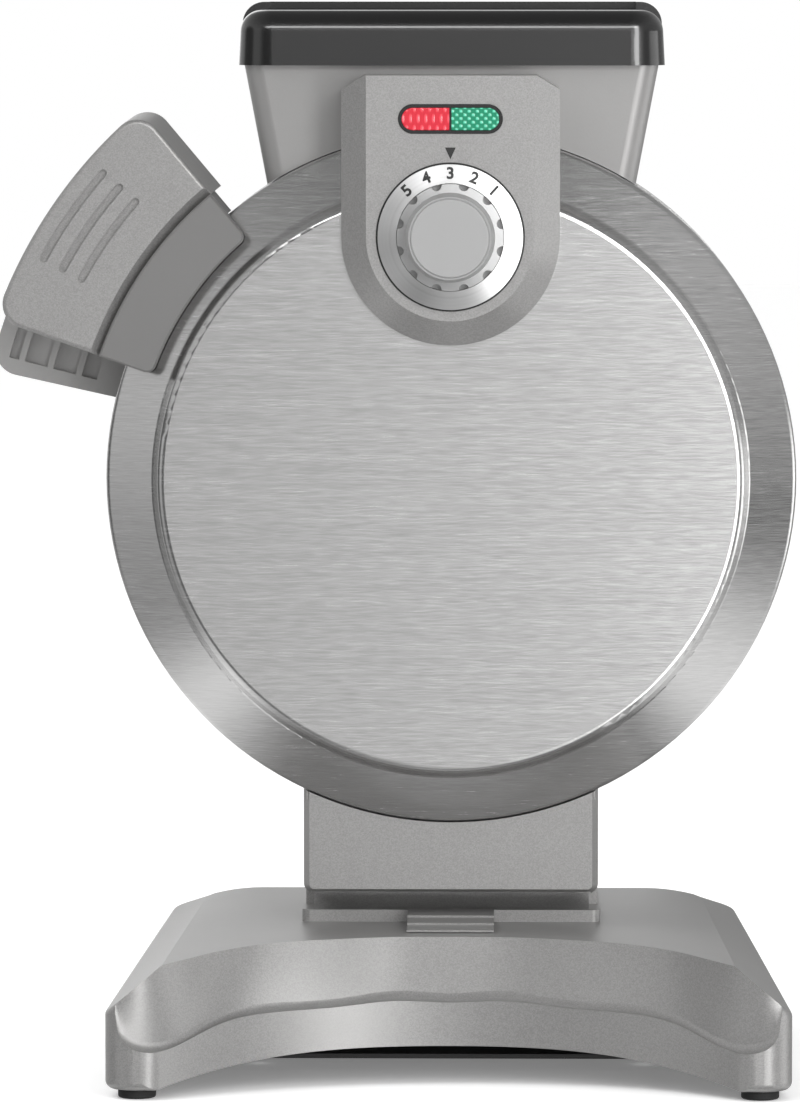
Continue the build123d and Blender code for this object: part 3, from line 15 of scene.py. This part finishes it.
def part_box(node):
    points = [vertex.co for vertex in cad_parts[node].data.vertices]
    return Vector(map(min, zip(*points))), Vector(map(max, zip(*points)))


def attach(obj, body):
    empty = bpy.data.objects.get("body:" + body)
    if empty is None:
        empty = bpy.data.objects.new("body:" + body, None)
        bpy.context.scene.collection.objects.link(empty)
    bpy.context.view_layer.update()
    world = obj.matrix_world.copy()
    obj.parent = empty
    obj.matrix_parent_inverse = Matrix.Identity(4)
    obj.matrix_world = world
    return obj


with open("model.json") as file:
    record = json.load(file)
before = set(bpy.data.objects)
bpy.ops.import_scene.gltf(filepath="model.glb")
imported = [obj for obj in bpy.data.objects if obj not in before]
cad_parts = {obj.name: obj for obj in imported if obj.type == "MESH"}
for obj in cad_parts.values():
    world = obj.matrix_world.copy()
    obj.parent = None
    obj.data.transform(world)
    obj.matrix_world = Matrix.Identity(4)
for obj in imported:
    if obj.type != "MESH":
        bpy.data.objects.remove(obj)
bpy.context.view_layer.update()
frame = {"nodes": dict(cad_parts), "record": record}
nodes = frame["nodes"]
print("solid nodes:", len(nodes))

# %% [markdown]
# ## Camera
# The catalogue view is taken from about two and a half metres with a long lens, a little above the spout and a
# little to the right. The camera tilts down instead of shifting its lens, so that other views stay centred.

# %% Camera
MM = 0.001
eye = Vector((25.3, -2430.0, 352.6)) * MM
aim = Vector((-16.3, -30.0, 165.1)) * MM
photo_long_side = 1112
focal_pixels = 7517.0

bpy.ops.object.select_all(action="DESELECT")
bpy.ops.object.camera_add(location=eye, rotation=(aim - eye).to_track_quat("-Z", "Y").to_euler())
camera = bpy.context.object
camera.data.sensor_width = 36.0
camera.data.lens = focal_pixels / photo_long_side * camera.data.sensor_width
camera.data.clip_end = 50.0
bpy.context.scene.camera = camera
bpy.context.scene.view_settings.view_transform = "Standard"
print("lens", round(camera.data.lens, 1), "mm")

# %% [markdown]
# ## Lamps
# Area lamps stand for softboxes. A tall narrow one in front, to the right, makes the flat steel brighter towards
# the right, and metal shows it. The other two only light the matt parts, from the right and from high on the left:
# the reflections they would make are painted in the room instead, where their shape is easier to set.


# %% Lamps
def softbox(name, place, target, size, power, mirrored=False):
    """A rectangular area lamp at place, turned to target, which metal shows where it is mirrored."""
    place, target = Vector(place), Vector(target)
    turn = (target - place).to_track_quat("-Z", "Y").to_euler()
    bpy.ops.object.light_add(type="AREA", location=place, rotation=turn)
    lamp = bpy.context.object
    lamp.name = name
    lamp.data.shape = "RECTANGLE"
    lamp.data.size, lamp.data.size_y = size
    lamp.data.energy = power
    lamp.visible_camera = False
    lamp.visible_glossy = mirrored


disc_middle = (0.0, 0.0, 0.19)
softbox("strip_right", (0.42, -0.95, 0.3), disc_middle, (0.25, 1.2), 5.5, mirrored=True)
softbox("side_right", (1.5, -0.35, 0.35), disc_middle, (0.5, 0.9), 6.0)
softbox("high_left", (-1.2, -0.5, 1.5), disc_middle, (0.9, 0.9), 13.0)

# %% [markdown]
# ## Shader maths as Python
# A finish is easier to read as an expression than as a web of wires. `Wire` wraps one socket and turns Python's
# operators into Math nodes; `Paint` owns a material and makes any other node from its settings and inputs.


# %% Shader helpers
class Wire:
    """One socket of a node tree, whose operators add Math nodes."""

    def __init__(self, paint, socket):
        self.paint, self.socket = paint, socket

    def sum(self, operation, first, second):
        return self.paint.node("ShaderNodeMath", {"operation": operation}, {0: first, 1: second})

    def __add__(self, other):
        return self.sum("ADD", self, other)

    __radd__ = __add__

    def __sub__(self, other):
        return self.sum("SUBTRACT", self, other)

    def __rsub__(self, other):
        return self.sum("SUBTRACT", other, self)

    def __mul__(self, other):
        return self.sum("MULTIPLY", self, other)

    __rmul__ = __mul__

    def __truediv__(self, other):
        return self.sum("DIVIDE", self, other)


class Paint:
    """A material in the making, with its Principled shader at hand."""

    def __init__(self, name, owner=None):
        self.material = owner or bpy.data.materials.new(name)
        self.material.use_nodes = True
        self.tree = self.material.node_tree
        self.shader = self.tree.nodes.get("Principled BSDF")

    def feed(self, socket, value):
        if isinstance(value, Wire):
            self.tree.links.new(value.socket, socket)
        else:
            socket.default_value = value

    def node(self, kind, settings=None, inputs=None, output=0):
        """A node of a kind: settings first, then the values or links of its sockets."""
        made = self.tree.nodes.new(kind)
        for key, value in (settings or {}).items():
            if key == "stops":
                elements = made.color_ramp.elements
                elements.remove(elements[-1])
                elements[0].position, elements[0].color = value[0]
                for place, tone in value[1:]:
                    elements.new(place).color = tone
            else:
                setattr(made, key, value)
        for key, value in (inputs or {}).items():
            self.feed(made.inputs[key], value)
        return Wire(self, made.outputs[output])

    def place(self):
        """Where a point of the piece lies, in metres."""
        return self.node("ShaderNodeTexCoord", output="Object")

    def split(self, vector):
        """The X, Y and Z of a vector."""
        parts = self.node("ShaderNodeSeparateXYZ", inputs={0: vector}).socket.node.outputs
        return [Wire(self, part) for part in parts]

    def ramp(self, factor, stops):
        """A grey that follows the factor through (position, level) stops."""
        stops = [(position, (level, level, level, 1.0)) for position, level in stops]
        return self.node("ShaderNodeValToRGB", {"stops": stops}, {"Fac": factor})

    def grain(self, scale, detail=2.0, roughness=0.5):
        """Noise whose cells are 1 / scale metres along X, Y and Z."""
        stretched = self.node("ShaderNodeMapping", inputs={"Vector": self.place(), "Scale": scale})
        inputs = {"Vector": stretched, "Scale": 1.0, "Detail": detail, "Roughness": roughness}
        return self.node("ShaderNodeTexNoise", inputs=inputs)

    def tones(self, factor, dark, light):
        """A colour between two, by factor."""
        return self.node("ShaderNodeMix", {"data_type": "RGBA"}, {0: factor, 6: dark, 7: light}, output=2)

    def span(self, value, low, high, to_low=0.0, to_high=1.0, smooth=False):
        """value, moved from one range to another and held inside it."""
        kind = "SMOOTHSTEP" if smooth else "LINEAR"
        inputs = {"Value": value, "From Min": low, "From Max": high, "To Min": to_low, "To Max": to_high}
        return self.node("ShaderNodeMapRange", {"interpolation_type": kind}, inputs)

    def set(self, **values):
        """Feeds the shader's sockets, with spaces in their names written as underscores."""
        for key, value in values.items():
            self.feed(self.shader.inputs[key.replace("_", " ")], value)

    def relief(self, height, depth, strength=1.0):
        """Bump of a height pattern, depth metres deep."""
        inputs = {"Height": height, "Distance": depth, "Strength": strength}
        self.set(Normal=self.node("ShaderNodeBump", inputs=inputs, output="Normal"))


def grey(level, warm=0.0):
    """A grey colour, a little warm where warm is above nought."""
    return (level * (1 + warm), level, level * (1 - warm), 1.0)


# %% [markdown]
# ## Room
# Polished metal shows the room more than its own colour, so the room is painted as a catalogue studio is built:
# grey walls with a few white cards. Round the view's axis, the cards stand at the lower left and the lower right,
# which gives the disc's sloping ring its bright and dark sectors. A front card, two side cards, one below and one
# behind each face one kind of surface: the flat fronts, the edges to either side, the undersides and the flat top
# of the base. A thin bright strip above the camera draws the line along the black rim. Matt surfaces get even
# fill, and the camera sees white.


# %% Room
def painted_room(fill_level, wall_stops):
    """A world that is white for the camera, even for matt surfaces, and a studio of cards for mirrors."""
    world = bpy.data.worlds.new("studio")
    bpy.context.scene.world = world
    room = Paint("room", world)
    across, along, up = room.split(room.node("ShaderNodeTexCoord", output="Generated"))
    turn = room.node("ShaderNodeMath", {"operation": "ARCTAN2"}, {0: up, 1: across}) / math.tau + 0.5
    walls = room.ramp(turn, wall_stops)
    front = room.span(along, -0.66, -0.9, smooth=True)
    right = room.span(across, 0.9, 0.97, smooth=True) * room.span(up, 0.12, 0.04)
    left = room.span(across, -0.9, -0.97, smooth=True)
    below = room.span(up, -0.88, -0.96, smooth=True)
    behind = room.span(along, 0.8, 0.93, smooth=True)
    front_tone = room.span(across, -0.22, 0.22, 0.1, 1.3)
    behind_tone = room.ramp(room.span(across, -0.12, 0.12), [(0.0, 1.45), (0.32, 1.08), (0.62, 1.05), (0.85, 0.36)])
    strip = room.span(up, 0.36, 0.42) * room.span(up, 0.52, 0.46) * room.span(along, -0.78, -0.85)
    mirror = walls
    for card, tone in (
        (front, front_tone),
        (left, grey(0.12)),
        (right, grey(2.0)),
        (below, grey(1.1)),
        (behind, behind_tone),
        (strip, grey(9.0)),
    ):
        mirror = room.tones(card, mirror, tone)
    rays = room.node("ShaderNodeLightPath").socket.node.outputs
    seen, glossy, through = (Wire(room, rays[f"Is {kind} Ray"]) for kind in ("Camera", "Glossy", "Transmission"))
    backdrop = room.tones(seen, grey(fill_level), grey(1.0))
    shade = room.tones(glossy + through, backdrop, mirror)
    room.feed(room.tree.nodes["Background"].inputs["Color"], shade)


wall_stops = (
    [(0.0, 0.6), (0.042, 0.42), (0.09, 0.3), (0.125, 1.3), (0.16, 0.26), (0.208, 0.34), (0.25, 0.34)]
    + [(0.292, 0.24), (0.34, 0.1), (0.375, 1.2), (0.415, 0.8), (0.46, 0.12), (0.5, 0.27), (0.542, 0.42)]
    + [(0.6, 0.44), (0.667, 0.26), (0.75, 0.14), (0.85, 0.3), (0.958, 0.66), (1.0, 0.6)]
)
painted_room(0.86, wall_stops)
print("room stops:", len(wall_stops))

# %% [markdown]
# ## Floor
# The floor is one wide white plane. The camera sees it a little whiter than the light it throws back, so that it
# meets the white background without an edge and still takes the soft shadow under the base.

# %% Floor
bpy.ops.object.select_all(action="DESELECT")
bpy.ops.mesh.primitive_plane_add(size=12.0, location=(0, 0, 0))
floor = bpy.context.object
floor.name = "floor"
sweep = Paint("pale_floor")
seen = Wire(sweep, sweep.node("ShaderNodeLightPath").socket.node.outputs["Is Camera Ray"])
sweep.set(Base_Color=sweep.tones(seen, grey(0.8), grey(1.0)), Roughness=0.9)
sweep.set(Emission_Color=sweep.tones(seen, grey(0.0), grey(0.16)), Emission_Strength=1.0)
floor.data.materials.append(sweep.material)
floor.visible_glossy = False
print("floor", floor.dimensions[:2])

# %% [markdown]
# ## Brushed steel
# Both covers are thin steel, brushed in straight horizontal lines. Fine scratches are far longer than they are
# wide, so the noise is stretched about twenty-five times along X. It tints the metal, roughens it and raises a
# trace of relief. A second, broader noise keeps wide areas from looking printed.


# %% Brushed steel
def brushed_steel():
    paint = Paint("brushed_steel")
    fine = paint.grain((150.0, 150.0, 3600.0), detail=4.0, roughness=0.6)
    broad = paint.grain((14.0, 14.0, 700.0), detail=3.0)
    streak = fine * 0.8 + broad * 0.2
    paint.set(
        Base_Color=paint.tones(paint.span(streak, 0.36, 0.64), grey(0.58, 0.006), grey(0.71, 0.004)),
        Metallic=1.0,
        Roughness=paint.span(streak, 0.3, 0.7, 0.2, 0.28),
    )
    paint.relief(fine, 0.00001, 0.25)
    return paint.material


# %% [markdown]
# ## Silver paint with flakes
# The grip, the dial's panel, the neck and the base are plastic under silver paint. Tiny flakes lie at random
# angles, so the paint sparkles at close range and looks plain from afar. A cell pattern under half a millimetre
# gives each flake its own tone.


# %% Silver paint
def flake_paint(name, level, spread=0.045, roughness=0.4, metallic=0.55):
    paint = Paint(name)
    cells = {"Vector": paint.place(), "Scale": 3000.0}
    flake = paint.split(paint.node("ShaderNodeTexVoronoi", {"feature": "F1"}, cells, output="Color"))[0]
    cloud = paint.grain((35.0, 35.0, 35.0), detail=2.0)
    tone = flake * 0.8 + cloud * 0.2
    paint.set(
        Base_Color=paint.tones(tone, grey(level - spread, 0.012), grey(level + spread, 0.012)),
        Metallic=metallic,
        Roughness=paint.span(flake, 0.0, 1.0, roughness - 0.05, roughness + 0.07),
    )
    paint.relief(flake, 0.00001, 0.3)
    return paint.material


# %% [markdown]
# ## Plain plastics, castings and small metal
# Moulded plastic has a fine, even orange peel. A casting is coarser, and sheet metal and screws are smoother. One
# function covers them, with the size and the depth of the texture as its values.


# %% Plain finishes
def moulded(name, level, roughness, cell=0.0006, depth=0.00003, metallic=0.0, warm=0.0, vary=0.06, coat=0.0):
    paint = Paint(name)
    pores = paint.grain((1 / cell,) * 3, detail=2.0)
    cloud = paint.grain((22.0, 22.0, 22.0), detail=3.0)
    tone = pores * 0.4 + cloud * 0.6
    paint.set(
        Base_Color=paint.tones(tone, grey(level * (1 - vary), warm), grey(level * (1 + vary), warm)),
        Metallic=metallic,
        Roughness=paint.span(tone, 0.2, 0.8, roughness * 0.9, min(roughness * 1.12, 1.0)),
        Coat_Weight=coat,
        Coat_Roughness=0.08,
    )
    paint.relief(pores, depth, 0.5)
    return paint.material


# %% [markdown]
# ## Spun metal of the dial
# The number ring is turned on a lathe, so its fine grooves run round the shaft and the light on it fans out in
# spokes. That fan of light is painted into its colour as reflection: broad bright and dark sectors and narrower
# spokes from the angle about the dial's axis. The grooves come from the distance to it.


# %% Dial metal
dial_z = 0.268


def spun_metal():
    paint = Paint("spun_metal")
    centred = paint.node("ShaderNodeMapping", inputs={"Vector": paint.place(), "Location": (0.0, 0.0, -dial_z)})
    x, _, z = paint.split(centred)
    angle = paint.node("ShaderNodeMath", {"operation": "ARCTAN2"}, {0: z, 1: x})
    painted_sector_sheen = paint.node("ShaderNodeMath", {"operation": "COSINE"}, {0: angle * 2.0})
    painted_spoke_sheen = paint.node("ShaderNodeMath", {"operation": "SINE"}, {0: angle * 7.0 + 0.7})
    radius = paint.node("ShaderNodeVectorMath", {"operation": "LENGTH"}, {0: centred}, output="Value")
    lines = {"W": radius * 9000.0, "Scale": 1.0, "Detail": 2.0}
    grooves = paint.node("ShaderNodeTexNoise", {"noise_dimensions": "1D"}, lines)
    # painted reflection: bright and dark sectors and spokes by angle, over the lathe's real grooves
    tone = painted_sector_sheen * 0.2 + painted_spoke_sheen * 0.08 + 0.5 + (grooves - 0.5) * 0.4
    paint.set(
        Base_Color=paint.tones(tone, grey(0.3), grey(0.78)),
        Metallic=0.8,
        Roughness=paint.span(grooves, 0.3, 0.7, 0.28, 0.4),
    )
    return paint.material


# %% [markdown]
# ## Signal lamps
# The two halves of the capsule window are tinted clear plastic over small lamps. Rows of little prisms are
# moulded into the back so that the colour glitters. Here the prisms are a wave pattern in the relief and the tint.
# The tint also glows faintly, a painted glow of the lamps behind.


# %% Lens finish
def lens_finish(name, deep, bright, rows):
    paint = Paint(name)
    x, _, z = paint.split(paint.place())
    ripple = paint.node("ShaderNodeMath", {"operation": "SINE"}, {0: x * rows[0]})
    ripple_z = paint.node("ShaderNodeMath", {"operation": "SINE"}, {0: z * rows[1]})
    prism = paint.span(ripple * ripple_z, 0.1, 0.9)
    tint = paint.tones(prism, deep, bright)
    # painted glow: the tint is also given off faintly as emission
    paint.set(Base_Color=tint, Emission_Color=tint, Emission_Strength=0.12, Roughness=0.12, Coat_Weight=0.6)
    paint.relief(prism, 0.0002, 0.5)
    return paint.material


# %% [markdown]
# ## Which solid gets which finish
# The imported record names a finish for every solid, so one table of finishes dresses them all. Parts that come from
# one mould or one sheet share an entry, and the numbers are set against the levels seen in a catalogue picture.
# The handle's bracket is the one exception: it is named with the collars but is darker than they are.

# %% Give each solid its finish
finishes = {
    "brushed_cover": brushed_steel(),
    "silver_flake": flake_paint("silver_flake", 0.31),
    "smooth_silver": moulded("smooth_silver", 0.29, 0.42, metallic=0.45, warm=0.012),
    "dark_silver": moulded("dark_silver", 0.33, 0.45, metallic=0.4, warm=0.012),
    "black_gloss": moulded("black_gloss", 0.007, 0.24, coat=1.0),
    "black_moulding": moulded("black_moulding", 0.02, 0.5),
    "coated_casting": moulded("coated_casting", 0.03, 0.4, cell=0.0012, depth=0.00006),
    "heater_sheath": moulded("heater_sheath", 0.22, 0.45, metallic=1.0, warm=0.03),
    "bright_sheet": moulded("bright_sheet", 0.62, 0.32, metallic=1.0),
    "fastener_steel": moulded("fastener_steel", 0.5, 0.34, metallic=1.0),
    "base_panel": moulded("base_panel", 0.03, 0.55),
    "dial_metal": spun_metal(),
    "knob_plastic": moulded("knob_plastic", 0.36, 0.35, metallic=0.4),
    "cap_plastic": moulded("cap_plastic", 0.32, 0.5, vary=0.02),
    "lamp_black": moulded("lamp_black", 0.008, 0.2, coat=0.5),
    "red_window": lens_finish("red_window", (0.55, 0.012, 0.03, 1), (0.85, 0.09, 0.12, 1), (2600.0, 900.0)),
    "green_window": lens_finish("green_window", (0.0, 0.2, 0.1, 1), (0.12, 0.62, 0.42, 1), (2400.0, 2700.0)),
    "lamp_glass": moulded("lamp_glass", 0.8, 0.1),
    "foot_rubber": moulded("foot_rubber", 0.01, 0.7),
}
darker_bracket = moulded("darker_bracket", 0.18, 0.45, metallic=0.4, warm=0.012)
for row in frame["record"]["subparts"]:
    finish = darker_bracket if row["node"] == "handle_bracket" else finishes[row["material_slot"]]
    for holder in nodes[row["node"]].material_slots:
        holder.material = finish
print("finishes:", len(finishes))

# %% [markdown]
# ## Numbers on the ring
# The ring carries five generic settings. Printed marks are about a tenth of a millimetre thick. Each number is set
# as text, made a mesh, leant back onto the ring's cone, and swung about the dial's axis to its own angle.

# %% Numbers
numbers = ("5", "4", "3", "2", "1")
number_angles = (-43.0, -22.0, 0.0, 22.0, 43.0)
number_radius = 0.0201
number_height = 0.0052
number_swell = 0.00016  # widens the strokes
number_half_thickness = 0.00006
ring_low_y, ring_high_y = -0.0535, -0.0551
ring_out_r, ring_in_r = 0.023, 0.0171
ring_lean = math.atan2(ring_low_y - ring_high_y, ring_out_r - ring_in_r)
ring_y = ring_low_y + (ring_high_y - ring_low_y) * (ring_out_r - number_radius) / (ring_out_r - ring_in_r)
# dark print for the numbers and the pointer, also used as the painted shade of the ring under the dial
print_and_shadow_paint = moulded("print_and_shadow_dark", 0.012, 0.5)


def deselect():
    bpy.ops.object.select_all(action="DESELECT")


def settle(piece):
    """Moves a piece's place into its mesh, so that its object sits at the origin."""
    deselect()
    piece.select_set(True)
    bpy.context.view_layer.objects.active = piece
    bpy.ops.object.transform_apply(location=True, rotation=True, scale=True)


marks = []
for character, angle in zip(numbers, number_angles):
    deselect()
    bpy.ops.object.text_add()
    mark = bpy.context.object
    mark.data.body = character
    mark.data.align_x, mark.data.align_y = "CENTER", "CENTER"
    mark.data.size = number_height
    mark.data.offset = number_swell
    mark.data.extrude = number_half_thickness
    bpy.ops.object.convert(target="MESH")
    stand = Matrix.Translation((0, ring_y, number_radius)) @ Matrix.Rotation(math.radians(90) - ring_lean, 4, "X")
    swing = Matrix.Rotation(math.radians(angle), 4, "Y")
    mark.data.transform(Matrix.Translation((0, 0, dial_z)) @ swing @ stand)
    marks.append(mark)
deselect()
for mark in marks:
    mark.select_set(True)
bpy.context.view_layer.objects.active = marks[0]
bpy.ops.object.join()
dial_numbers = bpy.context.object
dial_numbers.name = "dial_numbers"
dial_numbers.data.materials.clear()
dial_numbers.data.materials.append(print_and_shadow_paint)
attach(dial_numbers, "dial")
print("dial_numbers:", len(dial_numbers.data.polygons), "faces")

# %% [markdown]
# ## Pointer
# The pointer is a small flat triangle printed on the panel above the ring, with its tip down. A circle with three
# corners is the quickest start; its corners are set to the right proportions and the face is given a little body.

# %% Pointer
panel_face_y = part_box("control_panel")[0].y
pointer_top_z, pointer_width, pointer_drop = 0.2963, 0.0034, 0.0037
pointer_height, pointer_lift = 0.0001, 0.00001
bpy.ops.mesh.primitive_circle_add(vertices=3, radius=1.0, fill_type="NGON", rotation=(math.radians(90), 0, 0))
pointer = bpy.context.object
pointer.name = "pointer"
settle(pointer)
for vertex, (x, z) in zip(pointer.data.vertices, ((0, -1), (-1, 0), (1, 0))):
    vertex.co = (x * pointer_width / 2, 0, z * pointer_drop)
bpy.ops.object.mode_set(mode="EDIT")
bpy.ops.mesh.select_all(action="SELECT")
bpy.ops.mesh.extrude_region_move(TRANSFORM_OT_translate={"value": (0, -pointer_height, 0)})
bpy.ops.mesh.select_all(action="SELECT")
bpy.ops.mesh.normals_make_consistent(inside=False)
bpy.ops.object.mode_set(mode="OBJECT")
pointer.location = (0, panel_face_y - pointer_lift, pointer_top_z)
settle(pointer)
pointer.data.materials.append(print_and_shadow_paint)
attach(pointer, "lid")
print("pointer:", [round(side * 1000, 1) for side in pointer.dimensions], "mm")

# %% [markdown]
# ## Painted shadow under the dial
# A thin black ring lies on the panel under the edge of the number ring: it is painted shade, standing for the dark
# gap round the ring. It starts as a circle of points, which is drawn inwards to a band and then raised.

# %% Painted shadow ring
shadow_ring_out_r, shadow_ring_in_r = 0.0236, 0.0225
shadow_ring_height, shadow_ring_lift = 0.0001, 0.00002
deselect()
bpy.ops.mesh.primitive_circle_add(vertices=96, radius=shadow_ring_out_r, rotation=(math.radians(90), 0, 0))
painted_shadow_ring = bpy.context.object
painted_shadow_ring.name = "dial_painted_shadow"
settle(painted_shadow_ring)
inwards = shadow_ring_in_r / shadow_ring_out_r
bpy.ops.object.mode_set(mode="EDIT")
bpy.ops.mesh.select_all(action="SELECT")
bpy.ops.mesh.extrude_edges_move()
bpy.ops.transform.resize(value=(inwards, 1, inwards))
bpy.ops.mesh.select_all(action="SELECT")
bpy.ops.mesh.extrude_region_move(TRANSFORM_OT_translate={"value": (0, -shadow_ring_height, 0)})
bpy.ops.mesh.select_all(action="SELECT")
bpy.ops.mesh.normals_make_consistent(inside=False)
bpy.ops.object.mode_set(mode="OBJECT")
painted_shadow_ring.location = (0, panel_face_y - shadow_ring_lift, dial_z)
settle(painted_shadow_ring)
# painted shade: the black print colour stands for the shadow in the gap round the number ring
painted_shadow_ring.data.materials.append(print_and_shadow_paint)
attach(painted_shadow_ring, "lid")
print("dial_painted_shadow:", len(painted_shadow_ring.data.polygons), "faces")
